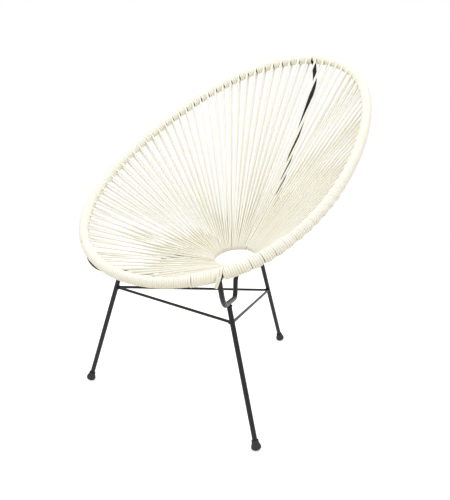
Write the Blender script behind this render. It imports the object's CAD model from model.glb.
"""Acapulco chair: bent steel frame, laced vinyl cord, studio and camera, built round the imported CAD."""

import logging
import math
from dataclasses import dataclass, field
from enum import Enum
from typing import Callable, Iterable, Sequence

import bpy
import numpy as np
from mathutils import Matrix, Vector


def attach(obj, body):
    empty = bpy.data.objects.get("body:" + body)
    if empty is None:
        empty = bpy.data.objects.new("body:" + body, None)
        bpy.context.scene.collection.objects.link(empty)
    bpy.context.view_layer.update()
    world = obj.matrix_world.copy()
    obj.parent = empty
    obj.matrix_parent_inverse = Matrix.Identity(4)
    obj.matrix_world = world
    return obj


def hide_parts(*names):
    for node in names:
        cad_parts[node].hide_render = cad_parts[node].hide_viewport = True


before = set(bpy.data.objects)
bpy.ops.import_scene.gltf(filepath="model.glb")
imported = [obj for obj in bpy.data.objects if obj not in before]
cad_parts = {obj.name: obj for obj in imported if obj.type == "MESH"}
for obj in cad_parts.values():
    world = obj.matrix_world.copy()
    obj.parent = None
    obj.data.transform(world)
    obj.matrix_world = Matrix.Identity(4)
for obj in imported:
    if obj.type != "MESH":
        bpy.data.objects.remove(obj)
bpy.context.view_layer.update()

LOG = logging.getLogger("acapulco_chair")
MM = 0.001
TURN = 2.0 * math.pi
X_AXIS = np.array([1.0, 0.0, 0.0])
Z_AXIS = np.array([0.0, 0.0, 1.0])
NEAR_X = 0.9
WHITE = (1.0, 1.0, 1.0, 1.0)

# Sockets of a Mix node for colours, by number, because their names repeat for each kind of data.
MIX_SHARE, MIX_FIRST, MIX_SECOND, MIX_RESULT = 0, 6, 7, 2


class Side(Enum):
    """The chair's two halves, as someone facing it sees them."""

    RIGHT = 1.0
    LEFT = -1.0

    @property
    def word(self) -> str:
        """The side's name as the nodes have it."""
        return self.name.lower()


def unit(vectors: np.ndarray) -> np.ndarray:
    """Scale vectors to length one.

    Args:
        vectors: One vector, or rows of them.

    Returns:
        The same directions at unit length.
    """
    return vectors / np.linalg.norm(vectors, axis=-1, keepdims=True)


def blend(start: np.ndarray, end: np.ndarray, share: np.ndarray) -> np.ndarray:
    """Mix two values or vectors along a share that runs from 0 to 1.

    Args:
        start: The value at share 0.
        end: The value at share 1.
        share: One share for each row of the result.

    Returns:
        A row for each share.
    """
    return start + (end - start) * share[:, None]


def swing(first: np.ndarray, second: np.ndarray, angles: np.ndarray) -> np.ndarray:
    """Turn from one direction towards another, square to it, by each angle in radians."""
    return first * np.cos(angles)[:, None] + second * np.sin(angles)[:, None]


def square_to(axis: np.ndarray) -> np.ndarray:
    """Find a unit vector square to a unit axis, and to X unless the axis runs nearly along it."""
    return unit(np.cross(axis, X_AXIS if abs(axis[0]) < NEAR_X else Z_AXIS))


# Curves that the cord and the bars follow


class ClosedCurve:
    """A closed curve in space, read by the length travelled along it."""

    SAMPLES = 4000

    def __init__(self, point_at_turn: Callable[[np.ndarray], np.ndarray]) -> None:
        """Sample the curve once round.

        Args:
            point_at_turn: Gives the points, in metres, at angles from 0 to a full turn.
        """
        turns = np.linspace(0.0, TURN, self.SAMPLES + 1)
        self.points = point_at_turn(turns)
        steps = np.linalg.norm(np.diff(self.points, axis=0), axis=1)
        self.travel = np.concatenate([[0.0], np.cumsum(steps)])
        self.length = float(self.travel[-1])
        ahead = np.roll(self.points[:-1], -1, axis=0) - np.roll(self.points[:-1], 1, axis=0)
        self.tangents = unit(np.vstack([ahead, ahead[:1]]))

    def at(self, travel: np.ndarray) -> tuple[np.ndarray, np.ndarray]:
        """Find places along the curve.

        Args:
            travel: Distances from the curve's start, which may pass its end.

        Returns:
            The points there and the unit tangents.
        """
        along = np.mod(travel, self.length)
        point, tangent = (
            np.stack([np.interp(along, self.travel, values[:, k]) for k in range(3)], axis=-1)
            for values in (self.points, self.tangents)
        )
        return point, unit(tangent)

    def point(self, share: float) -> np.ndarray:
        """Find the point at a share of the way round, in metres."""
        return self.at(np.array([share * self.length]))[0][0]


@dataclass(frozen=True)
class HoopShape:
    """The egg-shaped hoop, in millimetres, from the head round by the right."""

    half_length: float = 459.0
    half_width: float = 323.0
    centre_height: float = 622.0
    tilt_degrees: float = 30.0
    tube_radius: float = 8.0
    waist_shift: float = 26.0
    bow: float = 5.0
    egg_share: float = -0.19
    fullness_share: float = 0.11
    setback: float = 0.21

    def points(self, turns: np.ndarray) -> np.ndarray:
        """Lay the hoop's centre line out in space.

        Args:
            turns: Angles round the hoop from its head, in radians.

        Returns:
            The points there, in metres.
        """
        tilt = math.radians(self.tilt_degrees)
        cos, sin = np.cos(turns), np.sin(turns)
        along = self.half_length * cos + self.waist_shift * sin**2
        across = self.half_width * sin * (1 + self.egg_share * cos + self.fullness_share * cos**2)
        bow = self.bow * cos**2
        back = self.setback + along * math.cos(tilt) - bow * math.sin(tilt)
        height = self.centre_height + along * math.sin(tilt) + bow * math.cos(tilt)
        return np.stack([across, back, height], axis=-1) * MM


@dataclass(frozen=True)
class SeatRingShape:
    """The small ring at the bottom of the basket, in millimetres."""

    radius: float = 65.7
    height: float = 340.5
    setback: float = 14.71
    tilt_degrees: float = 13.0
    rod_radius: float = 6.0

    def points(self, turns: np.ndarray) -> np.ndarray:
        """Lay the ring's centre line out in space.

        Args:
            turns: Angles round the ring from its back, in radians.

        Returns:
            The points there, in metres.
        """
        tilt = math.radians(self.tilt_degrees)
        along = self.radius * np.cos(turns)
        across = self.radius * np.sin(turns)
        back = self.setback + along * math.cos(tilt)
        return np.stack([across, back, self.height + along * math.sin(tilt)], axis=-1) * MM


HOOP = HoopShape()
RING = SeatRingShape()
HOOP_CURVE = ClosedCurve(HOOP.points)
RING_CURVE = ClosedCurve(RING.points)


# Meshes


def add_mesh(name: str, vertices: np.ndarray, faces: Sequence[Sequence[int]]) -> bpy.types.Object:
    """Put a smooth-shaded mesh in the scene.

    Args:
        name: The piece's name.
        vertices: Corner points in metres.
        faces: Corner numbers of each face.

    Returns:
        The new object.
    """
    mesh = bpy.data.meshes.new(name)
    mesh.from_pydata(vertices.tolist(), [], faces)
    mesh.validate()
    mesh.shade_smooth()
    piece = bpy.data.objects.new(name, mesh)
    bpy.context.scene.collection.objects.link(piece)
    return piece


@dataclass
class Skin:
    """Corner points and faces gathered from several tubes and turned shapes."""

    vertices: list[np.ndarray] = field(default_factory=list)
    faces: list[tuple[int, ...]] = field(default_factory=list)
    count: int = 0

    def add(self, vertices: np.ndarray, faces: Iterable[Sequence[int]]) -> None:
        """Append a shape.

        Args:
            vertices: Its corner points.
            faces: Its faces, numbered from its own first corner.
        """
        self.faces.extend(tuple(int(k) + self.count for k in face) for face in faces)
        self.vertices.append(vertices)
        self.count += len(vertices)

    def piece(self, name: str) -> bpy.types.Object:
        """Turn what was gathered into one object."""
        return add_mesh(name, np.vstack(self.vertices), self.faces)


def grid_faces(rows: int, columns: int, closed: bool = False) -> list[tuple[int, ...]]:
    """Number the quads between rings of corners.

    Args:
        rows: How many rings there are.
        columns: How many corners a ring has.
        closed: Whether the last ring joins the first.

    Returns:
        One quad for each pair of neighbouring corners.
    """
    bands = rows if closed else rows - 1
    here, column = np.meshgrid(np.arange(bands), np.arange(columns), indexing="ij")
    ahead = (here + 1) % rows
    beside = (column + 1) % columns
    corners = ((here, column), (here, beside), (ahead, beside), (ahead, column))
    quads = np.stack([row * columns + place for row, place in corners], axis=-1)
    return [tuple(quad) for quad in quads.reshape(-1, 4).tolist()]


def tube(
    path: np.ndarray,
    normals: np.ndarray,
    radius: np.ndarray | float,
    flat_radius: np.ndarray | float | None = None,
    sides: int = 8,
    closed: bool = False,
) -> tuple[np.ndarray, list[tuple[int, ...]]]:
    """Sweep a round or oval section along a path.

    Args:
        path: The centre line's points.
        normals: One rough normal for each point, which fixes how the section is turned.
        radius: The section's radius along the normal.
        flat_radius: Its radius across the normal, where that differs.
        sides: Corners of the section.
        closed: Whether the path joins itself.

    Returns:
        Corner points and faces, with round ends where the path is open.
    """
    count = len(path)
    if closed:
        ahead = np.roll(path, -1, axis=0) - np.roll(path, 1, axis=0)
    else:
        ahead = np.gradient(path, axis=0)
    tangents = unit(ahead)
    across = unit(np.cross(tangents, normals))
    upright = np.cross(across, tangents)
    flat = radius if flat_radius is None else flat_radius
    tall, wide = (np.broadcast_to(np.asarray(size, dtype=float), (count,)) for size in (radius, flat))
    angles = np.arange(sides) * TURN / sides
    rim = (
        upright[:, None, :] * (tall[:, None] * np.cos(angles))[:, :, None]
        + across[:, None, :] * (wide[:, None] * np.sin(angles))[:, :, None]
    )
    rings = path[:, None, :] + rim
    faces = grid_faces(count, sides, closed)
    if closed:
        return rings.reshape(-1, 3), faces
    nose_share = 0.5
    first = path[0] - tangents[0] * tall[0] * nose_share + rim[0] * nose_share
    last = path[-1] + tangents[-1] * tall[-1] * nose_share + rim[-1] * nose_share
    points = np.vstack([rings.reshape(-1, 3), first, last])
    low, high = count * sides, count * sides + sides
    for k in range(sides):
        k2 = (k + 1) % sides
        end = (count - 1) * sides
        faces.append((low + k, low + k2, k2, k))
        faces.append((end + k, end + k2, high + k2, high + k))
    faces.append(tuple(low + k for k in reversed(range(sides))))
    faces.append(tuple(high + k for k in range(sides)))
    return points, faces


def bent_path(corners: np.ndarray, bends: Sequence[float], step_degrees: float = 4.0) -> np.ndarray:
    """Round the inner corners of a path by arcs.

    Args:
        corners: The path's corners, in metres.
        bends: The bend radius at each inner corner, in metres.
        step_degrees: How far one step turns along an arc.

    Returns:
        Points of the rounded path.
    """
    path = [corners[0]]
    for i, bend in enumerate(bends):
        corner = corners[i + 1]
        back, ahead = unit(corners[i] - corner), unit(corners[i + 2] - corner)
        half = math.acos(float(np.clip(back @ ahead, -1.0, 1.0))) / 2.0
        centre = corner + unit(back + ahead) * bend / math.sin(half)
        start = corner + back * bend / math.tan(half) - centre
        axis = unit(np.cross(back, ahead))
        sweep = math.pi - 2.0 * half
        steps = max(2, math.ceil(math.degrees(sweep) / step_degrees))
        for k in range(steps + 1):
            turned = Matrix.Rotation(-sweep * k / steps, 3, Vector(axis)) @ Vector(start)
            path.append(centre + np.array(turned))
    path.append(corners[-1])
    return np.array(path)


def resample(path: np.ndarray, spacing: float) -> np.ndarray:
    """Cut the long straights of a path into steps, and keep its own points.

    Args:
        path: Points of the path.
        spacing: The longest step wanted, in metres.

    Returns:
        The path with more points on it.
    """
    points = [path[:1]]
    for start, end in zip(path[:-1], path[1:]):
        steps = max(1, math.ceil(float(np.linalg.norm(end - start)) / spacing))
        points.append(blend(start, end, np.arange(1, steps + 1) / steps))
    return np.vstack(points)


# Materials


def linear(hex_colour: str) -> tuple[float, float, float, float]:
    """Turn an sRGB hex colour into the linear colour that a socket takes.

    Args:
        hex_colour: Six hex digits, with or without a leading #.

    Returns:
        Linear red, green and blue, and full opacity.
    """
    digits = hex_colour.lstrip("#")
    shares = [int(digits[k : k + 2], 16) / 255.0 for k in (0, 2, 4)]
    red, green, blue = [c / 12.92 if c <= 0.04045 else ((c + 0.055) / 1.055) ** 2.4 for c in shares]
    return red, green, blue, 1.0


def add_node(
    tree: bpy.types.NodeTree,
    kind: str,
    settings: dict[str, object] | None = None,
    inputs: dict[str | int, object] | None = None,
    links: dict[str | int, bpy.types.NodeSocket] | None = None,
) -> bpy.types.Node:
    """Add one node, set it up and link what feeds it.

    Args:
        tree: The node tree.
        kind: Blender's name for the node's type.
        settings: Properties of the node.
        inputs: Values for its input sockets.
        links: Output sockets of other nodes, by the input that each feeds.

    Returns:
        The new node.
    """
    node = tree.nodes.new(kind)
    for name, value in (settings or {}).items():
        setattr(node, name, value)
    for key, value in (inputs or {}).items():
        node.inputs[key].default_value = value
    for key, socket in (links or {}).items():
        tree.links.new(socket, node.inputs[key])
    return node


def new_tree(name: str) -> tuple[bpy.types.Material, bpy.types.NodeTree]:
    """Start a material with an empty node tree.

    Args:
        name: The material's name.

    Returns:
        The material and its tree.
    """
    material = bpy.data.materials.new(name)
    material.use_nodes = True
    material.node_tree.nodes.clear()
    return material, material.node_tree


@dataclass(frozen=True)
class Grain:
    """A fine random relief that spraying, moulding or extruding leaves on a surface."""

    size_mm: float
    height_mm: float
    strength: float
    detail: float

    def normal(self, tree: bpy.types.NodeTree, place: bpy.types.NodeSocket) -> bpy.types.NodeSocket:
        """Tilt the surface by the grain.

        Args:
            tree: The material's tree.
            place: The piece's own coordinates.

        Returns:
            The normal for the shader.
        """
        noise = add_node(
            tree,
            "ShaderNodeTexNoise",
            inputs={"Scale": 1.0 / (self.size_mm * MM), "Detail": self.detail},
            links={"Vector": place},
        )
        bump = add_node(
            tree,
            "ShaderNodeBump",
            inputs={"Strength": self.strength, "Distance": self.height_mm * MM},
            links={"Height": noise.outputs["Fac"]},
        )
        return bump.outputs["Normal"]


@dataclass(frozen=True)
class PowderCoat:
    """Black polyester powder coat, sprayed and baked on steel.

    The eye sees a soft, slightly broken highlight along each rod, because the baked powder keeps a fine
    orange-peel surface, and the odd paler scuff on the outside of the bends.
    """

    name: str = "powder_coated_steel_black"
    colour: str = "#111112"
    scuff_colour: str = "#262627"
    roughness: float = 0.33
    ior: float = 1.4
    # Baked powder flows into crests one to two millimetres apart.
    peel: Grain = Grain(size_mm=1.6, height_mm=0.05, strength=0.35, detail=2.0)
    # Scuffs come in patches some centimetres long, where the noise's crests are in this range.
    scuff_mm: float = 35.0
    scuff_detail: float = 6.0
    scuff_breakup: float = 0.7
    scuff_crests: tuple[float, float] = (0.58, 0.75)
    scuff_dulling: float = 0.15

    def make(self) -> bpy.types.Material:
        """Build the material.

        Returns:
            The finished material.
        """
        material, tree = new_tree(self.name)
        place = add_node(tree, "ShaderNodeTexCoord").outputs["Object"]
        scuff = add_node(
            tree,
            "ShaderNodeTexNoise",
            inputs={
                "Scale": 1.0 / (self.scuff_mm * MM),
                "Detail": self.scuff_detail,
                "Roughness": self.scuff_breakup,
            },
            links={"Vector": place},
        )
        faint, full = self.scuff_crests
        worn = add_node(
            tree,
            "ShaderNodeMapRange",
            inputs={"From Min": faint, "From Max": full},
            links={"Value": scuff.outputs["Fac"]},
        )
        colour = add_node(
            tree,
            "ShaderNodeMix",
            settings={"data_type": "RGBA"},
            inputs={MIX_FIRST: linear(self.colour), MIX_SECOND: linear(self.scuff_colour)},
            links={MIX_SHARE: worn.outputs["Result"]},
        )
        shine = add_node(
            tree,
            "ShaderNodeMapRange",
            inputs={"To Min": self.roughness, "To Max": self.roughness + self.scuff_dulling},
            links={"Value": scuff.outputs["Fac"]},
        )
        shader = add_node(
            tree,
            "ShaderNodeBsdfPrincipled",
            inputs={"IOR": self.ior},
            links={
                "Base Color": colour.outputs[MIX_RESULT],
                "Roughness": shine.outputs["Result"],
                "Normal": self.peel.normal(tree, place),
            },
        )
        add_node(tree, "ShaderNodeOutputMaterial", links={"Surface": shader.outputs["BSDF"]})
        return material


@dataclass(frozen=True)
class MouldedRubber:
    """Black moulded rubber foot cap: matt, with a fine grain from the mould and a little dust low down."""

    name: str = "moulded_rubber_black"
    colour: str = "#232324"
    dust_colour: str = "#3B3A38"
    roughness: float = 0.68
    ior: float = 1.52
    # A mould's grain is finer than this, and is drawn as coarse as it needs to show.
    grain: Grain = Grain(size_mm=0.9, height_mm=0.06, strength=0.5, detail=3.0)
    dust_mm: float = 7.0
    dust_share: float = 0.6

    def make(self) -> bpy.types.Material:
        """Build the material.

        Returns:
            The finished material.
        """
        material, tree = new_tree(self.name)
        place = add_node(tree, "ShaderNodeTexCoord").outputs["Object"]
        height = add_node(tree, "ShaderNodeSeparateXYZ", links={"Vector": place})
        dust = add_node(
            tree,
            "ShaderNodeMapRange",
            inputs={"From Min": self.dust_mm * MM, "From Max": 0.0, "To Max": self.dust_share},
            links={"Value": height.outputs["Z"]},
        )
        colour = add_node(
            tree,
            "ShaderNodeMix",
            settings={"data_type": "RGBA"},
            inputs={MIX_FIRST: linear(self.colour), MIX_SECOND: linear(self.dust_colour)},
            links={MIX_SHARE: dust.outputs["Result"]},
        )
        shader = add_node(
            tree,
            "ShaderNodeBsdfPrincipled",
            inputs={"Roughness": self.roughness, "IOR": self.ior},
            links={"Base Color": colour.outputs[MIX_RESULT], "Normal": self.grain.normal(tree, place)},
        )
        add_node(tree, "ShaderNodeOutputMaterial", links={"Surface": shader.outputs["BSDF"]})
        return material


@dataclass(frozen=True)
class VinylCord:
    """Ivory vinyl cord, extruded round and drawn tight.

    The eye sees a smooth, faintly translucent skin with a soft highlight along each cord, a tone that
    drifts slightly along it, and a faint unevenness that only just breaks the shine. Where cords lie close
    the light goes from one into the next, so the grooves and the shaded undersides turn honey coloured.
    """

    name: str = "extruded_vinyl_ivory"
    colour: str = "#FAFAF5"
    warm_colour: str = "#F7F4E4"
    hollow_colour: str = "#E3D4A6"
    # A hollow is judged by what lies within about two cords' width, and how open it is sets the tone.
    hollow_reach_mm: float = 12.0
    hollow_open: tuple[float, float] = (0.0, 0.82)
    hollow_samples: int = 8
    roughness: float = 0.42
    ior: float = 1.53
    drift_mm: float = 60.0
    drift_detail: float = 5.0
    drift_breakup: float = 0.65
    # The skin's own unevenness is finer than this, and is drawn as coarse as it needs to show.
    ripple: Grain = Grain(size_mm=2.2, height_mm=0.12, strength=0.25, detail=2.0)
    # Red goes deepest into ivory vinyl and blue least.
    glow_share: float = 0.2
    glow_by_colour: tuple[float, float, float] = (1.0, 0.82, 0.52)
    glow_depth_mm: float = 3.0

    def make(self) -> bpy.types.Material:
        """Build the material.

        Returns:
            The finished material.
        """
        material, tree = new_tree(self.name)
        place = add_node(tree, "ShaderNodeTexCoord").outputs["Object"]
        drift = add_node(
            tree,
            "ShaderNodeTexNoise",
            inputs={
                "Scale": 1.0 / (self.drift_mm * MM),
                "Detail": self.drift_detail,
                "Roughness": self.drift_breakup,
            },
            links={"Vector": place},
        )
        colour = add_node(
            tree,
            "ShaderNodeMix",
            settings={"data_type": "RGBA"},
            inputs={MIX_FIRST: linear(self.colour), MIX_SECOND: linear(self.warm_colour)},
            links={MIX_SHARE: drift.outputs["Fac"]},
        )
        open_share = add_node(
            tree,
            "ShaderNodeAmbientOcclusion",
            settings={"samples": self.hollow_samples},
            inputs={"Distance": self.hollow_reach_mm * MM},
        )
        closed, opened = self.hollow_open
        lit = add_node(
            tree,
            "ShaderNodeMapRange",
            inputs={"From Min": closed, "From Max": opened},
            links={"Value": open_share.outputs["AO"]},
        )
        toned = add_node(
            tree,
            "ShaderNodeMix",
            settings={"data_type": "RGBA"},
            inputs={MIX_FIRST: linear(self.hollow_colour)},
            links={MIX_SHARE: lit.outputs["Result"], MIX_SECOND: colour.outputs[MIX_RESULT]},
        )
        shader = add_node(
            tree,
            "ShaderNodeBsdfPrincipled",
            inputs={
                "Roughness": self.roughness,
                "IOR": self.ior,
                "Subsurface Weight": self.glow_share,
                "Subsurface Radius": self.glow_by_colour,
                "Subsurface Scale": self.glow_depth_mm * MM,
            },
            links={"Base Color": toned.outputs[MIX_RESULT], "Normal": self.ripple.normal(tree, place)},
        )
        add_node(tree, "ShaderNodeOutputMaterial", links={"Surface": shader.outputs["BSDF"]})
        return material


class Finish(Enum):
    """The finishes on the chair, by the record's material slot."""

    POWDER_COAT = "powder_coat"
    FOOT_RUBBER = "foot_rubber"
    CORD = "cord"


class Workshop:
    """Makes each finish once and hands pieces over to the frame."""

    def __init__(self) -> None:
        """Make the finishes."""
        self.materials = {
            Finish.POWDER_COAT: PowderCoat().make(),
            Finish.FOOT_RUBBER: MouldedRubber().make(),
            Finish.CORD: VinylCord().make(),
        }

    def hand_over(self, piece: bpy.types.Object, finish: Finish, *nodes: str) -> None:
        """Dress a piece, fix it to the chair and let it stand for its CAD nodes.

        Args:
            piece: The finished object.
            finish: What it is made of.
            nodes: The CAD nodes that it stands for.
        """
        piece.data.materials.append(self.materials[finish])
        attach(piece, "root")
        if nodes:
            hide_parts(*nodes)
        LOG.info("%s: %d faces", piece.name, len(piece.data.polygons))


# Steel frame


@dataclass
class SteelFrame:
    """Hoop, seat ring and the three bent bars between them, in millimetres."""

    shop: Workshop
    bar_radius: float = 6.0
    support_hoop_share: float = 0.4119
    support_ring_share: float = 0.3313
    support_drop: float = 78.0
    support_drop_lean: float = 16.0
    support_drop_side_lean: float = 8.9
    support_run: float = 205.0
    support_run_fall: float = 51.0
    support_rise: float = 58.0
    support_bends: tuple[float, ...] = (60.0, 14.0, 14.0)
    spine_drop: float = 69.0
    spine_drop_lean: float = 15.0
    spine_heel_height: float = 328.0
    spine_heel_setback: float = 138.21
    spine_bow: float = 5.0
    spine_bends: tuple[float, ...] = (60.0, 600.0, 26.0)
    leg_seat_run: float = 78.0
    leg_seat_search_degrees: float = 15.0
    # A bead of weld swells and thins as it was laid. On a bar it lies just off the hoop's tube.
    weld_drop: float = 9.0
    bead_radius: float = 2.2
    bead_lumps: float = 17.0
    bead_lump_share: float = 0.10
    bead_stray_share: float = 0.06
    bead_steps: int = 48
    spine_weld_seed: int = 3
    support_weld_seed: int = 5
    bar_step: float = 12.0
    sides: int = 28
    round_sides: int = 24
    hoop_steps: int = 240
    ring_steps: int = 96

    def support_corners(self, side: Side) -> np.ndarray:
        """Corners of a seat support, from the hoop to the ring.

        Args:
            side: Which half of the chair it is on.

        Returns:
            Five points in metres.
        """
        top = HOOP_CURVE.point(self.support_hoop_share)
        end = RING_CURVE.point(self.support_ring_share)
        inward = unit((end - top) * np.array([1.0, 1.0, 0.0]))
        low = -self.support_drop - self.support_run_fall
        runs = (
            (self.support_drop_lean, -self.support_drop),
            (self.support_run, low),
            (self.support_run, low + self.support_rise),
        )
        points = [top] + [top + (inward * run + Z_AXIS * rise) * MM for run, rise in runs] + [end]
        points[1] = points[1] + np.cross(inward, Z_AXIS) * self.support_drop_side_lean * MM
        return np.array(points) * np.array([side.value, 1.0, 1.0])

    def spine_corners(self) -> np.ndarray:
        """Corners of the back spine, from the head of the hoop to the ring.

        Returns:
            Five points in metres.
        """
        top = HOOP_CURVE.point(0.0)
        shoulder = top + np.array([0.0, self.spine_drop_lean, -self.spine_drop]) * MM
        heel = np.array([0.0, self.spine_heel_setback, self.spine_heel_height]) * MM
        inward = np.cross(unit(heel - shoulder), X_AXIS)
        middle = (shoulder + heel) / 2.0 + inward * self.spine_bow * MM
        return np.array([top, shoulder, middle, heel, RING_CURVE.point(0.0)])

    def hang_bar(
        self,
        node: str,
        corners: np.ndarray,
        bends: Sequence[float],
        normal: np.ndarray,
        seed: int,
    ) -> None:
        """Bend one bar and weld it where it leaves the hoop.

        Args:
            node: The CAD node that it stands for.
            corners: Its corners in metres, from the hoop.
            bends: Its bend radii in millimetres.
            normal: The normal of the plane that it lies in.
            seed: Fixes the ripple of its weld.
        """
        path = resample(bent_path(corners, [bend * MM for bend in bends]), self.bar_step * MM)
        skin = Skin()
        skin.add(*tube(path, np.tile(normal, (len(path), 1)), self.bar_radius * MM, sides=self.sides))
        down = unit(corners[1] - corners[0])
        self.weld(skin, corners[0] + down * self.weld_drop * MM, down, self.bar_radius, seed)
        self.shop.hand_over(skin.piece(f"{node}_bar"), Finish.POWDER_COAT, node)

    def weld(self, skin: Skin, centre: np.ndarray, axis: np.ndarray, radius: float, seed: int) -> None:
        """Run a weld bead round a rod.

        Args:
            skin: Gathers the bead.
            centre: The middle of the bead's ring, in metres.
            axis: The rod's direction.
            radius: The rod's radius, in millimetres.
            seed: Fixes the bead's ripple.
        """
        random = np.random.RandomState(seed)
        axis = unit(axis)
        side = square_to(axis)
        turns = np.arange(self.bead_steps) * TURN / self.bead_steps
        stray = self.bead_stray_share * random.standard_normal(len(turns))
        ripple = 1.0 + self.bead_lump_share * np.sin(turns * self.bead_lumps) + stray
        outward = swing(side, np.cross(axis, side), turns)
        path = centre + outward * radius * MM
        skin.add(*tube(path, outward, self.bead_radius * MM * ripple, closed=True))

    def build(self) -> None:
        """Make the hoop, the ring, the spine and both supports."""
        for name, node, curve, radius, steps in (
            ("hoop_tube", "hoop", HOOP_CURVE, HOOP.tube_radius, self.hoop_steps),
            ("seat_ring_rod", "seat_ring", RING_CURVE, RING.rod_radius, self.ring_steps),
        ):
            path = curve.at(np.arange(steps) / steps * curve.length)[0]
            normal = unit(np.cross(path[steps // 4] - path[0], path[steps // 2] - path[0]))
            normals = np.tile(normal, (steps, 1))
            skin = Skin()
            skin.add(*tube(path, normals, radius * MM, sides=self.round_sides, closed=True))
            self.shop.hand_over(skin.piece(name), Finish.POWDER_COAT, node)
        self.hang_bar("back_spine", self.spine_corners(), self.spine_bends, X_AXIS, self.spine_weld_seed)
        for side in Side:
            corners = self.support_corners(side)
            normal = unit(np.cross(corners[1] - corners[0], corners[2] - corners[1]))
            node = f"seat_support_{side.word}"
            self.hang_bar(node, corners, self.support_bends, normal, self.support_weld_seed)

    def leg_tops(self) -> dict[str, np.ndarray]:
        """Find where each leg meets the middle of its bar.

        Returns:
            A point in metres for each leg's node.
        """
        tops = {}
        for side in Side:
            corners = self.support_corners(side)
            run = unit(corners[2] - corners[1])
            tops[f"front_leg_{side.word}"] = corners[1] + run * self.leg_seat_run * MM
        bends = [bend * MM for bend in self.spine_bends]
        spine = bent_path(self.spine_corners(), bends, self.leg_seat_search_degrees)
        tops["rear_leg"] = spine[np.argmin(spine[:, 2])]
        return tops


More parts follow.
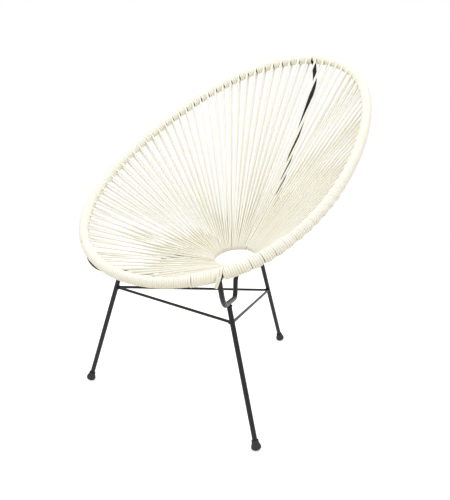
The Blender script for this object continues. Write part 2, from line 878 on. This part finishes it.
@dataclass
class LegFrame:
    """Three legs, the rods that tie them and their foot caps, in millimetres."""

    shop: Workshop
    steel: SteelFrame
    leg_radius: float = 6.0
    tie_radius: float = 3.5
    foot_height: float = 13.8
    front_foot: tuple[float, float] = (274.0, -275.79)
    rear_foot: tuple[float, float] = (0.0, 268.21)
    front_tie_below_bar: float = 43.8
    rear_tie_below_bar: float = 143.4
    cap_radius: float = 12.0
    cap_height: float = 26.0
    cap_neck_radius: float = 8.6
    cap_dome_radius: float = 15.0
    cap_floor_angle: float = 0.06
    cap_dome_rings: int = 9
    # The cap's side from its belly up: how far out, from neck to belly, and how high, both as shares.
    cap_side: tuple[tuple[float, float], ...] = (
        (1.0441, 0.32),
        (0.9706, 0.42),
        (0.78, 0.5),
        (0.42, 0.62),
        (0.12, 0.72),
        (0.0, 0.82),
    )
    # Its lip and its bore: how far out from the neck or the leg, and how far below the top.
    cap_lip: tuple[tuple[float, float], ...] = ((0.0, 1.4), (-0.35, 0.4), (-1.0, 0.0))
    cap_bore: tuple[tuple[float, float], ...] = ((0.4, 0.0), (0.15, 0.8), (0.15, 6.0))
    cap_sides: int = 36
    # A leg runs down inside its cap, and stops inside the bar that it is welded to.
    leg_in_cap: float = 8.0
    leg_stop: float = 3.0
    leg_weld_drop: float = 7.4
    leg_weld_seed: int = 11
    # A tie rod bites into the leg's skin, and its bead lies just outside it.
    tie_bite: float = 1.5
    tie_weld_gap: float = 0.6
    tie_weld_seed: int = 23
    rod_step: float = 25.0
    sides: int = 28

    def feet(self) -> dict[str, np.ndarray]:
        """The middle of each foot cap's round bottom, by leg, in metres."""
        across, ahead = self.front_foot
        return {
            "front_leg_right": np.array([across, ahead, self.foot_height]) * MM,
            "front_leg_left": np.array([-across, ahead, self.foot_height]) * MM,
            "rear_leg": np.array([*self.rear_foot, self.foot_height]) * MM,
        }

    def cap(self, foot: np.ndarray, axis: np.ndarray) -> Skin:
        """Turn a bell-shaped rubber cap and stand it flat on the floor.

        Args:
            foot: The middle of its round bottom.
            axis: The leg's direction, upwards.

        Returns:
            The cap's skin.
        """
        dome, neck = self.cap_dome_radius, self.cap_neck_radius
        belly, top = self.cap_radius - neck, self.cap_height - dome
        angles = np.linspace(self.cap_floor_angle, math.asin(self.cap_radius / dome), self.cap_dome_rings)
        profile = [(dome * math.sin(a), -dome * math.cos(a)) for a in angles]
        profile += [(neck + belly * out, self.cap_height * up - dome) for out, up in self.cap_side]
        profile += [(neck + out, top - down) for out, down in self.cap_lip]
        profile += [(self.leg_radius + out, top - down) for out, down in self.cap_bore]
        side = square_to(axis)
        turns = np.arange(self.cap_sides) * TURN / self.cap_sides
        outward = swing(side, np.cross(side, axis), turns)
        points = np.vstack([foot + (axis * height + outward * radius) * MM for radius, height in profile])
        points[:, 2] = np.maximum(points[:, 2], 0.0)
        faces = [tuple(reversed(face)) for face in grid_faces(len(profile), len(turns))]
        last = (len(profile) - 1) * len(turns)
        faces.append(tuple(range(len(turns))))
        faces.append(tuple(last + k for k in reversed(range(len(turns)))))
        skin = Skin()
        skin.add(points, faces)
        return skin

    def rod(self, name: str, start: np.ndarray, end: np.ndarray, radius: float) -> Skin:
        """Lay a straight rod between two points.

        Args:
            name: The rod's name, for the log.
            start: One end, in metres.
            end: The other end.
            radius: The rod's radius, in millimetres.

        Returns:
            The rod's skin.
        """
        path = resample(np.array([start, end]), self.rod_step * MM)
        normals = np.tile(square_to(unit(end - start)), (len(path), 1))
        skin = Skin()
        skin.add(*tube(path, normals, radius * MM, sides=self.sides))
        LOG.info("%s: %.0f mm long", name, np.linalg.norm(end - start) / MM)
        return skin

    def build(self) -> None:
        """Make the legs, the caps and the tie rods."""
        tops, feet = self.steel.leg_tops(), self.feet()
        joints = {}
        for index, (name, top) in enumerate(tops.items()):
            foot = feet[name]
            axis = unit(top - foot)
            below = self.rear_tie_below_bar if name == "rear_leg" else self.front_tie_below_bar
            joints[name] = top - axis * below * MM / axis[2]
            low, high = foot - axis * self.leg_in_cap * MM, top - axis * self.leg_stop * MM
            skin = self.rod(name, low, high, self.leg_radius)
            bead = top - axis * self.leg_weld_drop * MM
            self.steel.weld(skin, bead, axis, self.leg_radius, self.leg_weld_seed + index)
            self.shop.hand_over(skin.piece(f"{name}_rod"), Finish.POWDER_COAT, name)
            node = "foot_cap_rear" if name == "rear_leg" else f"foot_cap_front_{name.rsplit('_', 1)[1]}"
            self.shop.hand_over(self.cap(foot, axis).piece(f"{node}_bell"), Finish.FOOT_RUBBER, node)
        right, left, rear = (joints[name] for name in ("front_leg_right", "front_leg_left", "rear_leg"))
        for name, start, end in (
            ("tie_rod_front", left, right),
            ("tie_rod_right", right, rear),
            ("tie_rod_left", left, rear),
        ):
            along = unit(end - start)
            inset = along * (self.leg_radius - self.tie_bite) * MM
            skin = self.rod(name, start + inset, end - inset, self.tie_radius)
            reach = along * (self.leg_radius + self.tie_weld_gap) * MM
            for index, bead in enumerate((start + reach, end - reach)):
                self.steel.weld(skin, bead, along, self.tie_radius, self.tie_weld_seed + index)
            self.shop.hand_over(skin.piece(f"{name}_bar"), Finish.POWDER_COAT, name)


# Cord


@dataclass(frozen=True)
class Parting:
    """A place on the hoop where turns of cord stand apart, on the side that an angle faces.

    Turns before it move back by one width and turns after it move on by another, in metres. Turns nearer to
    it than about snap move less.
    """

    travel: float
    angle: float
    before: float
    after: float
    snap: float


@dataclass(frozen=True)
class LooseCord:
    """A stray piece of cord on the hoop, in millimetres.

    Each corner says how far it lies along the hoop, below its middle and outward from it.
    """

    name: str
    corners: tuple[tuple[float, float, float], ...]
    bends: tuple[float, ...]


@dataclass
class Lacing:
    """One vinyl cord, laced from hoop to seat ring and back all the way round, in millimetres.

    A strand comes up from the ring on the sitter's side, winds round the hoop and goes back down behind it
    to the ring, which the cord then passes round on the side of the hole. The numbers count from the spine
    round by the right, and the cord is laced the other way.
    """

    shop: Workshop
    steel: SteelFrame
    # Half sizes of the cord: round along the strands, and pressed flat where it is wound on the hoop.
    cord_radius: float = 2.5
    pressed_height: float = 2.35
    pressed_width: float = 3.1
    winding_gap: float = 0.2
    inner_spread: float = 0.12
    # Pairs of strands and the turns between them. The strands themselves take the room of half a turn.
    loops: int = 90
    turns_per_loop: float = 4.5
    strand_turns: float = 0.5
    pair_half_gap: float = 1.8
    pair_ease_turns: float = 0.3
    right_lengths: tuple[tuple[str, int, int], ...] = (
        ("head", 0, 9),
        ("shoulder", 9, 19),
        ("flank", 19, 28),
        ("hip", 28, 37),
        ("front", 37, 45),
    )
    # On the ring the strands crowd together, further round than straight, and most so on the left.
    ring_squeeze: float = 0.9
    ring_step: float = 0.6
    ring_twist: float = -16.0
    ring_lag: float = -7.0
    ring_lag_shares: tuple[float, float, float] = (0.45, 0.66, 1.0)
    ring_bar_margin: float = 8.5
    # Turns part round the spine and the supports, and at a few pairs that were laced slackly.
    part_width: float = 8.6
    part_reach: float = 60.0
    part_snap: float = 2.0
    support_part_shift: float = 12.0
    support_part: tuple[float, float] = (0.3, 18.0)
    open_half_widths: tuple[tuple[float, float], ...] = (
        (32.0, 0.6),
        (33.0, 0.7),
        (34.0, 0.7),
        (38.67, 1.5),
    )
    open_angle_degrees: float = 225.0
    open_snap: float = 1.0
    # Back strands step round a support: aside of its riser, and over its top length, or under it where they
    # would pass further below it than over_limit.
    riser_gap: float = 0.6
    riser_reach: float = 1.15
    top_reach: float = 0.9
    over_limit: float = -2.5
    detour_span: tuple[float, float] = (0.1, 0.97)
    # Handwork: how far places stray at the ring, at the hoop, turn by turn and along the strands.
    ring_stray: float = 0.8
    ring_rise: float = 1.3
    hoop_stray: float = 0.4
    turn_stray: float = 0.3
    bow_stray: float = 0.8
    # Strands that lean to one side: a pair's number, 0 for its front strand or 1 for the back strand that is
    # laced after it, and how far.
    leaning: tuple[tuple[int, int, float], ...] = (
        (3, 0, 1.5),
        (3, 1, 1.6),
        (4, 0, 1.4),
        (4, 1, 1.4),
        (48, 0, 1.8),
        (49, 0, 3.8),
        (50, 0, -1.7),
        (51, 0, -2.6),
        (52, 0, -3.0),
        (53, 0, -1.5),
    )
    # Stretches of the hoop by the right support where turns are wound fuller, and where they sag.
    full_stretch: tuple[float, float] = (868.0, 1106.0)
    full_ease: float = 7.0
    full_lift: float = 1.6
    sag_stretch: tuple[float, float] = (640.0, 1010.0)
    sag_ease: float = 60.0
    sag: float = 2.4
    steps_per_turn: int = 16
    strand_steps: int = 14
    ring_steps: int = 8
    seed: int = 7
    loose_on: str = "cord_front_right"
    loose_step: float = 3.0
    loose_step_degrees: float = 12.0
    loose_lean: float = 0.3
    loose: tuple[LooseCord, ...] = (
        LooseCord(
            "cut_end",
            (
                (-12.0, -14.5, 6.0),
                (-10.5, -10.0, 14.5),
                (-5.9, 3.2, 18.2),
                (1.5, 13.3, 15.8),
                (10.1, 25.1, 10.0),
            ),
            (6.0, 14.0, 20.0),
        ),
        LooseCord(
            "slack_turn",
            (
                (-6.0, -12.0, 8.0),
                (-4.3, -7.2, 15.0),
                (0.7, 4.6, 18.4),
                (8.4, 15.9, 14.5),
                (12.9, 23.4, 6.0),
            ),
            (6.0, 14.0, 14.0),
        ),
    )

    def __post_init__(self) -> None:
        """Settle the radii, the bars to part round and the irregularity of handwork."""
        self.hoop_radius = (HOOP.tube_radius + self.pressed_height + self.winding_gap) * MM
        self.ring_radius = (RING.rod_radius + self.cord_radius + self.winding_gap) * MM
        self.pitch = HOOP_CURVE.length / self.loops
        self.partings = self.find_partings()
        # Of each support, the foot and head of its riser and the end of its top length, on the ring.
        self.supports = [self.steel.support_corners(side)[-3:] for side in Side]
        random = np.random.RandomState(self.seed)
        pairs, turns = (self.loops, 2), (self.loops, math.ceil(self.turns_per_loop) + 1)
        self.ring_jitter = random.uniform(-self.ring_stray, self.ring_stray, pairs) * MM
        self.ring_lift = random.uniform(0.0, self.ring_rise, pairs) * MM
        self.hoop_jitter = random.uniform(-self.hoop_stray, self.hoop_stray, pairs) * MM
        self.turn_jitter = random.uniform(-self.turn_stray, self.turn_stray, turns) * MM
        self.bow = random.standard_normal((self.loops, 2, 2)) * self.bow_stray * MM
        for index, layer, aside in self.leaning:
            self.bow[index][layer][0] += aside * MM

    def find_partings(self) -> list[Parting]:
        """Find where turns stand apart: at the three bars, and at a few pairs that were laced slackly.

        Returns:
            The places, with how far the turns stand apart there.
        """
        spine = self.steel.spine_corners()
        width, snap, shift = self.part_width * MM, self.part_snap * MM, self.support_part_shift * MM
        partings = [Parting(0.0, self.bar_angle(0.0, spine[1] - spine[0]), width, width, snap)]
        for side in Side:
            corners = self.steel.support_corners(side)
            share = self.steel.support_hoop_share
            travel = (share if side is Side.RIGHT else 1.0 - share) * HOOP_CURVE.length
            before, after = (part * MM for part in self.support_part)
            angle = self.bar_angle(travel, corners[1] - corners[0])
            partings.append(Parting(travel - shift, angle, before, after, snap))
        angle, snap = math.radians(self.open_angle_degrees), self.open_snap * MM
        for index, half in self.open_half_widths:
            partings.append(Parting(self.pair_travel(index), angle, half * MM, half * MM, snap))
        return partings

    def pair_travel(self, index: float) -> float:
        """Find where along the hoop a pair of strands stands, in metres: half a loop past its number."""
        return (index + 0.5) * self.pitch

    def bar_angle(self, travel: float, direction: np.ndarray) -> float:
        """Find where round the hoop a bar leaves it.

        Args:
            travel: Where along the hoop the bar is.
            direction: The bar's direction.

        Returns:
            The angle, in radians.
        """
        _, toward, sitter = self.hoop_frame(np.array([travel]))
        return math.atan2(float(direction @ sitter[0]), float(direction @ toward[0]))

    def ring_travel(self, hoop_travel: np.ndarray, margin: float = 0.0) -> np.ndarray:
        """Find the place on the ring that faces a place on the hoop.

        Args:
            hoop_travel: Distances along the hoop.
            margin: How far to keep from the bars that join the ring, in millimetres.

        Returns:
            Distances along the ring.
        """
        length = RING_CURVE.length
        hoop_share, ring_share = self.steel.support_hoop_share, self.steel.support_ring_share
        bars = np.array([0.0, ring_share, 1.0 - ring_share, 1.0]) * length
        share = np.mod(hoop_travel / HOOP_CURVE.length, 1.0)
        turned = self.ring_twist + np.interp(share, self.ring_lag_shares, (0.0, self.ring_lag, 0.0))
        plain = np.interp(share, [0.0, hoop_share, 1.0 - hoop_share, 1.0], bars) + turned * MM
        around = np.mod(plain, length)
        sector = np.clip(np.searchsorted(bars, around, side="right") - 1, 0, 2)
        start, room = bars[sector], bars[sector + 1] - bars[sector]
        cleared = start + margin * MM + (around - start) * (1.0 - 2.0 * margin * MM / room)
        return plain + cleared - around

    def hoop_frame(self, travel: np.ndarray) -> tuple[np.ndarray, np.ndarray, np.ndarray]:
        """Find the hoop's middle, the way to the ring and the sitter's side.

        Args:
            travel: Distances along the hoop.

        Returns:
            Points, unit vectors towards the ring, and unit vectors towards the sitter.
        """
        centre, tangent = HOOP_CURVE.at(travel)
        toward = RING_CURVE.at(self.ring_travel(travel))[0] - centre
        toward = unit(toward - tangent * np.sum(toward * tangent, axis=-1, keepdims=True))
        return centre, toward, np.cross(toward, tangent)

    def ring_frame(self, ring_travel: np.ndarray, toward_point: np.ndarray) -> tuple[np.ndarray, ...]:
        """Find the ring's middle, the way to the hoop and the sitter's side.

        Args:
            ring_travel: Distances along the ring.
            toward_point: The points of the hoop that the strands there come from.

        Returns:
            Points, unit vectors towards the hoop, and unit vectors towards the sitter.
        """
        centre, tangent = RING_CURVE.at(ring_travel)
        toward = toward_point - centre
        toward = unit(toward - tangent * np.sum(toward * tangent, axis=-1, keepdims=True))
        return centre, toward, np.cross(tangent, toward)

    def parted(self, travel: np.ndarray, angle: np.ndarray) -> np.ndarray:
        """Push turns aside at each parting.

        Args:
            travel: Distances along the hoop.
            angle: Where round the hoop each point is.

        Returns:
            The distances, moved apart on the side that the parting faces.
        """
        moved = travel.copy()
        half = HOOP_CURVE.length / 2.0
        for parting in self.partings:
            away = np.mod(travel - parting.travel + half, HOOP_CURVE.length) - half
            facing = np.cos((angle - parting.angle) / 2.0) ** 2
            push = np.tanh(away / parting.snap) * np.exp(-np.abs(away) / (self.part_reach * MM))
            moved += np.where(away < 0.0, parting.before, parting.after) * push * facing
        return moved

    def slack(self, travel: np.ndarray, angle: np.ndarray) -> np.ndarray:
        """How far the turns stand off the hoop, in metres.

        Along one stretch by the right support they are wound fuller, and along another each loop's turns
        sag a little on the underside.

        Args:
            travel: Distances along the hoop.
            angle: Where round the hoop each point is.

        Returns:
            The lift at each point.
        """
        full = self.within(travel, self.full_stretch, self.full_ease) * self.full_lift
        between_pairs = np.sin((travel / self.pitch - 0.5) * math.pi) ** 2
        below = np.maximum(-np.sin(angle), 0.0)
        sagging = self.within(travel, self.sag_stretch, self.sag_ease) * between_pairs * below
        return (full + sagging * self.sag) * MM

    def within(self, travel: np.ndarray, stretch: tuple[float, float], ease: float) -> np.ndarray:
        """Tell how far inside a stretch of the hoop each place is.

        Args:
            travel: Distances along the hoop, in metres.
            stretch: Where it starts and ends, in millimetres.
            ease: How long both its ends are, in millimetres.

        Returns:
            Shares from 0 outside the stretch to 1 inside it.
        """
        start, end = stretch
        inside = np.clip(np.minimum(travel / MM - start, end - travel / MM) / ease, 0.0, 1.0)
        return inside * inside * (3.0 - 2.0 * inside)

    def around_hoop(
        self, travel: np.ndarray, angle: np.ndarray, lift: np.ndarray
    ) -> tuple[np.ndarray, np.ndarray]:
        """Place the cord's middle on the hoop.

        Args:
            travel: Distances along the hoop.
            angle: Where round the hoop each point is.
            lift: How far each point is above the first layer.

        Returns:
            The points and the way out from the hoop's middle.
        """
        centre, toward, sitter = self.hoop_frame(travel)
        outward = swing(toward, sitter, angle)
        return centre + outward * (self.hoop_radius + lift)[:, None], outward

    def winding(self, loop: int, start: float, end: float) -> tuple[np.ndarray, np.ndarray]:
        """Wind the cord round the hoop between two pairs of strands.

        Args:
            loop: The loop's number, which sets how evenly its turns lie.
            start: Where along the hoop the cord comes up in front.
            end: Where it leaves behind.

        Returns:
            Points of the cord's middle and the way out from the hoop's.
        """
        count = int(self.turns_per_loop * self.steps_per_turn) + 1
        turns = np.linspace(0.0, self.turns_per_loop, count)
        angle = TURN / 4.0 + turns * TURN
        step = math.copysign(self.pitch / (self.turns_per_loop + self.strand_turns), end - start)
        even = (start + end - step * self.turns_per_loop) / 2.0 + step * turns
        jitter = self.turn_jitter[loop]
        even = even + np.interp(turns, np.linspace(0.0, self.turns_per_loop, len(jitter)), jitter)
        ease = np.clip(1.0 - turns / self.pair_ease_turns, 0.0, 1.0) ** 2
        ease_back = np.clip(1.0 - (self.turns_per_loop - turns) / self.pair_ease_turns, 0.0, 1.0) ** 2
        travel = even + (start - even[0]) * ease + (end - even[-1]) * ease_back
        travel = (start + end) / 2.0 + (travel - (start + end) / 2.0) * self.spread(angle)
        travel = self.parted(travel, angle)
        return self.around_hoop(travel, angle, self.slack(travel, angle))

    def spread(self, angle: np.ndarray) -> np.ndarray:
        """How much wider turns lie on the hoop's inner side, where fewer of them share the room."""
        return 1.0 + self.inner_spread * np.maximum(np.cos(angle), 0.0)

    def ring_turn(self, start: float, end: float, hoop_point: np.ndarray) -> tuple[np.ndarray, np.ndarray]:
        """Take the cord half way round the ring, on the side of the hole.

        Args:
            start: Where along the ring it comes in behind.
            end: Where it leaves in front.
            hoop_point: The place on the hoop that both strands reach for.

        Returns:
            Points of the cord's middle and the way out from the ring's.
        """
        share = np.linspace(0.0, 1.0, self.ring_steps + 1)
        angle = -TURN / 4.0 - share * TURN / 2.0
        centre, toward, sitter = self.ring_frame(start + (end - start) * share, hoop_point)
        outward = swing(toward, sitter, angle)
        return centre + outward * self.ring_radius, outward

    def strand(
        self, start: np.ndarray, end: np.ndarray, normals: tuple[np.ndarray, np.ndarray], bow: np.ndarray
    ) -> tuple[np.ndarray, np.ndarray]:
        """Draw a strand nearly straight between hoop and ring.

        Args:
            start: Its first point.
            end: Its last point.
            normals: The normals at both ends.
            bow: How far its middle strays, across and along the normal.

        Returns:
            Points between the ends, and their normals.
        """
        share = np.arange(1, self.strand_steps) / self.strand_steps
        normal = unit(blend(normals[0], normals[1], share))
        across = unit(np.cross(end - start, normal))
        belly = np.sin(share * math.pi)[:, None]
        return blend(start, end, share) + (across * bow[0] + normal * bow[1]) * belly, normal

    def crossing(
        self, start: np.ndarray, end: np.ndarray, bar: np.ndarray
    ) -> tuple[float, float, float, np.ndarray]:
        """Find where a strand passes a straight length of bar.

        Args:
            start: The strand's first point.
            end: Its last point.
            bar: The bar's two ends.

        Returns:
            The share of the strand and the share of the bar there, how far the strand passes above the bar,
            and the direction of that gap, which points upward.
        """
        across = unit(np.cross(end - start, bar[1] - bar[0]))
        across = across * math.copysign(1.0, across[2])
        sides = np.array([end - start, bar[0] - bar[1], across]).T
        place, reach, _ = np.linalg.solve(sides, bar[0] - start)
        return float(place), float(reach), float((start - bar[0]) @ across), across

    def detour(self, start: np.ndarray, end: np.ndarray) -> np.ndarray:
        """Take a back strand round a seat support: over or under its top length, or aside of its riser.

        Args:
            start: The strand's first point.
            end: Its last point.

        Returns:
            How far each point between the ends moves.
        """
        share = np.arange(1, self.strand_steps) / self.strand_steps
        moved = np.zeros((len(share), 3))
        clear = (self.steel.bar_radius + self.cord_radius + self.riser_gap) * MM
        nearest, farthest = self.detour_span
        for corners in self.supports:
            place, reach, gap, across = self.crossing(start, end, corners[1:])
            target = clear if gap > self.over_limit * MM else -clear
            met = 0.0 < reach < self.top_reach
            if not met:
                place, reach, gap, across = self.crossing(start, end, corners[:2])
                target = math.copysign(clear, gap)
                met = 0.0 < reach < self.riser_reach
            if met and abs(gap) < clear and nearest < place < farthest:
                tent = np.minimum(share / place, (1.0 - share) / (1.0 - place))
                moved += across * (target - gap) * tent[:, None]
        return moved

    def pair(self, index: int) -> tuple[float, float, float]:
        """Find where a pair of strands stands.

        Args:
            index: The pair's number, counted from the spine.

        Returns:
            Its distance along the hoop, and along the ring in front and behind, in metres.
        """
        travel = self.pair_travel(index)
        margins = (0.0, self.ring_bar_margin)
        front, behind = (float(self.ring_travel(np.array([travel]), margin)[0]) for margin in margins)
        return travel, front, behind

    def run(self, first: int, last: int) -> Skin:
        """Lace a stretch of loops with one unbroken cord.

        Args:
            first: The first loop's number.
            last: The number after the last loop's.

        Returns:
            The cord's skin.
        """
        points, normals, tall, wide = [], [], [], []
        round_size = self.cord_radius * MM

        def lay(path: np.ndarray, normal: np.ndarray, heights: np.ndarray, widths: np.ndarray) -> None:
            """Add a stretch of cord, with its half heights and half widths."""
            for gathered, part in zip((points, normals, tall, wide), (path, normal, heights, widths)):
                gathered.append(part)

        share = np.arange(1, self.strand_steps) / self.strand_steps
        eased = round_size * (1.0 - (1.0 - self.ring_squeeze) * (1.0 - share) ** 2)
        even, at_ring = np.full(len(share), round_size), np.full(self.ring_steps + 1, round_size)
        gap, step = self.pair_half_gap * MM, self.ring_step * MM
        for loop in reversed(range(first, last)):
            here, ahead = (loop + 1) % self.loops, loop % self.loops
            (travel, ring, _), (next_travel, next_ring, next_behind) = self.pair(loop + 1), self.pair(loop)
            ring_start = ring - step + self.ring_jitter[here][0]
            down = next_behind + step + self.ring_jitter[ahead][1]
            up = next_ring - step + self.ring_jitter[ahead][0]
            wind_start = travel - gap + self.hoop_jitter[here][0]
            wind_end = next_travel + gap + self.hoop_jitter[ahead][1]
            wind, wind_out = self.winding(ahead, wind_start, wind_end)
            pull, next_pull = (HOOP_CURVE.at(np.array([place]))[0] for place in (travel, next_travel))
            leave, leave_out = self.ring_turn(ring_start, ring_start, pull)
            turn, turn_out = self.ring_turn(down, up, next_pull)
            leave[-1] += leave_out[-1] * self.ring_lift[here][0]
            turn[-1] += turn_out[-1] * self.ring_lift[ahead][0]
            front_bow, back_bow = self.bow[here]
            rise, rise_out = self.strand(leave[-1], wind[0], (leave_out[-1], wind_out[0]), front_bow)
            fall, fall_out = self.strand(wind[-1], turn[0], (wind_out[-1], turn_out[0]), back_bow)
            fall = fall + self.detour(wind[-1], turn[0])
            if loop == last - 1:
                lay(leave[-1:], leave_out[-1:], at_ring[:1], at_ring[:1] * self.ring_squeeze)
            lay(rise, rise_out, even, eased)
            angle = TURN / 4.0 + np.linspace(0.0, self.turns_per_loop, len(wind)) * TURN
            pressed = np.ones(len(wind)) * MM
            widths = pressed * self.pressed_width * self.spread(angle)
            lay(wind, wind_out, pressed * self.pressed_height, widths)
            lay(fall, fall_out, even, eased[::-1])
            lay(turn, turn_out, at_ring, at_ring * self.ring_squeeze)
        path, normal = np.vstack(points), np.vstack(normals)
        skin = Skin()
        skin.add(*tube(path, normal, np.concatenate(tall), np.concatenate(wide)))
        return skin

    def loose_cord(self, skin: Skin, cord: LooseCord) -> None:
        """Hang a stray piece of cord where the right support leaves the hoop.

        Args:
            skin: Gathers the cord.
            cord: The piece's corners and bends.
        """
        anchor = self.steel.support_hoop_share * HOOP_CURVE.length
        centre, toward, sitter = self.hoop_frame(np.array([anchor]))
        along = HOOP_CURVE.at(np.array([anchor]))[1][0]
        axes = np.array([along, -sitter[0], -toward[0]])
        corners = centre[0] + np.array(cord.corners) @ axes * MM
        path = bent_path(corners, [bend * MM for bend in cord.bends], self.loose_step_degrees)
        path = resample(path, self.loose_step * MM)
        normal = -toward[0] + along * self.loose_lean
        skin.add(*tube(path, np.tile(normal, (len(path), 1)), self.cord_radius * MM))
        LOG.info("%s: %d points", cord.name, len(path))

    def build(self) -> None:
        """Lace each named length of cord, and the stray ends beside the right support."""
        right = self.right_lengths
        left = tuple((name, self.loops - last, self.loops - first) for name, first, last in reversed(right))
        for side, runs in ((Side.RIGHT, right), (Side.LEFT, left)):
            for name, first, last in runs:
                node = f"cord_{name}_{side.word}"
                skin = self.run(first, last)
                if node == self.loose_on:
                    for cord in self.loose:
                        self.loose_cord(skin, cord)
                self.shop.hand_over(skin.piece(f"{node}_lacing"), Finish.CORD, node)


# Studio


@dataclass(frozen=True)
class Lamp:
    """A square soft lamp: where it hangs and its side in metres, and its power in watts."""

    name: str
    place: tuple[float, float, float]
    size: float
    power: float


@dataclass(frozen=True)
class Studio:
    """Floor, backdrop light, lamps and the camera, in millimetres and degrees."""

    azimuth: float = 36.08
    elevation: float = 17.44
    roll: float = 0.956
    distance: float = 1803.6
    target: tuple[float, float, float] = (0.0, -33.4, 372.9)
    focal_pixels: float = 676.3
    frame_height_pixels: float = 500.0
    sensor_width: float = 36.0
    floor_half: float = 6000.0
    # The shadow fades out between these distances from the middle of the floor.
    shadow_fade: tuple[float, float] = (700.0, 1500.0)
    paper_colour: str = "#F2F2F2"
    paper_glow: float = 0.45
    # What the cords and the underside of the seat get back from the floor.
    bounce_colour: str = "#D2C9B4"
    fill_strength: float = 0.94
    lamp_target: float = 450.0
    lamps: tuple[Lamp, ...] = (
        Lamp("key_softbox", (-1.6, -1.8, 2.6), 1.8, 12.0),
        Lamp("fill_softbox", (2.2, -1.0, 1.8), 2.0, 6.0),
        Lamp("top_softbox", (0.0, 0.6, 3.0), 2.4, 15.0),
    )

    def place_camera(self) -> None:
        """Stand the camera where the photograph was taken from."""
        azimuth, elevation, roll = (math.radians(a) for a in (self.azimuth, self.elevation, self.roll))
        level = math.cos(elevation)
        back = Vector((math.sin(azimuth) * level, -math.cos(azimuth) * level, math.sin(elevation)))
        right = Vector((math.cos(azimuth), math.sin(azimuth), 0.0))
        upward = back.cross(right)
        turned_right = right * math.cos(roll) + upward * math.sin(roll)
        turned_up = upward * math.cos(roll) - right * math.sin(roll)
        position = (Vector(self.target) + back * self.distance) * MM
        data = bpy.data.cameras.new("camera")
        data.sensor_width = self.sensor_width
        data.sensor_fit = "AUTO"
        data.lens = self.focal_pixels * self.sensor_width / self.frame_height_pixels
        camera = bpy.data.objects.new("camera", data)
        placing = Matrix((turned_right, turned_up, back)).transposed().to_4x4()
        placing.translation = position
        camera.matrix_world = placing
        bpy.context.scene.collection.objects.link(camera)
        bpy.context.scene.camera = camera

    def add_lamp(self, lamp: Lamp) -> None:
        """Hang a lamp that points at the seat.

        Args:
            lamp: Its place, size and power.
        """
        data = bpy.data.lights.new(lamp.name, "AREA")
        data.size = lamp.size
        data.energy = lamp.power
        hung = bpy.data.objects.new(lamp.name, data)
        hung.location = lamp.place
        aim = Vector((0.0, 0.0, self.lamp_target * MM)) - Vector(lamp.place)
        hung.rotation_euler = aim.to_track_quat("-Z", "Y").to_euler()
        bpy.context.scene.collection.objects.link(hung)

    def white_rays(self, tree: bpy.types.NodeTree) -> bpy.types.NodeSocket:
        """Pick out the rays that find a white surround.

        Args:
            tree: The tree of the surround's own shader.

        Returns:
            1 for rays from the camera, off gloss or through a clear body, and 0 for the rest.
        """
        rays = add_node(tree, "ShaderNodeLightPath")
        share = rays.outputs["Is Camera Ray"]
        for name in ("Is Glossy Ray", "Is Transmission Ray"):
            links = {0: share, 1: rays.outputs[name]}
            either = add_node(tree, "ShaderNodeMath", settings={"operation": "MAXIMUM"}, links=links)
            share = either.outputs[0]
        return share

    def light_world(self) -> None:
        """Fill the surroundings with even light, and show them as white."""
        world = bpy.data.worlds.new("studio")
        world.use_nodes = True
        tree = world.node_tree
        tree.nodes.clear()
        fill, white = (
            add_node(tree, "ShaderNodeBackground", inputs={"Color": WHITE, "Strength": strength})
            for strength in (self.fill_strength, 1.0)
        )
        mix = add_node(
            tree,
            "ShaderNodeMixShader",
            links={0: self.white_rays(tree), 1: fill.outputs[0], 2: white.outputs[0]},
        )
        add_node(tree, "ShaderNodeOutputWorld", links={"Surface": mix.outputs[0]})
        bpy.context.scene.world = world

    def lay_floor(self) -> None:
        """Lay a plain white floor that keeps a faint shadow."""
        half = self.floor_half * MM
        corners = np.array([[-half, -half, 0.0], [half, -half, 0.0], [half, half, 0.0], [-half, half, 0.0]])
        floor = add_mesh("studio_floor", corners, [(0, 1, 2, 3)])
        material, tree = new_tree("white_studio_paper")
        paper, dull = (
            add_node(tree, "ShaderNodeBsdfDiffuse", inputs={"Color": linear(colour)})
            for colour in (self.paper_colour, self.bounce_colour)
        )
        glow, white = (
            add_node(tree, "ShaderNodeEmission", inputs={"Color": WHITE, "Strength": strength})
            for strength in (self.paper_glow, 1.0)
        )
        lifted = add_node(tree, "ShaderNodeAddShader", links={0: paper.outputs[0], 1: glow.outputs[0]})
        place = add_node(tree, "ShaderNodeTexCoord").outputs["Object"]
        length = {"operation": "LENGTH"}
        distance = add_node(tree, "ShaderNodeVectorMath", settings=length, links={0: place})
        near, far = (edge * MM for edge in self.shadow_fade)
        faded = add_node(
            tree,
            "ShaderNodeMapRange",
            inputs={"From Min": near, "From Max": far},
            links={"Value": distance.outputs["Value"]},
        )
        seen = add_node(
            tree,
            "ShaderNodeMixShader",
            links={0: faded.outputs["Result"], 1: lifted.outputs[0], 2: white.outputs[0]},
        )
        mix = add_node(
            tree,
            "ShaderNodeMixShader",
            links={0: self.white_rays(tree), 1: dull.outputs[0], 2: seen.outputs[0]},
        )
        add_node(tree, "ShaderNodeOutputMaterial", links={"Surface": mix.outputs[0]})
        floor.data.materials.append(material)

    def build(self) -> None:
        """Set the camera, the floor and the lights."""
        self.place_camera()
        self.lay_floor()
        self.light_world()
        for lamp in self.lamps:
            self.add_lamp(lamp)
        bpy.context.scene.view_settings.view_transform = "Standard"


def main() -> None:
    """Build the chair and its studio, and note both boxes."""
    logging.basicConfig(level=logging.INFO, format="%(name)s: %(message)s")
    Studio().build()
    shop = Workshop()
    steel = SteelFrame(shop)
    steel.build()
    LegFrame(shop, steel).build()
    Lacing(shop, steel).build()


if __name__ == "__main__":
    main()
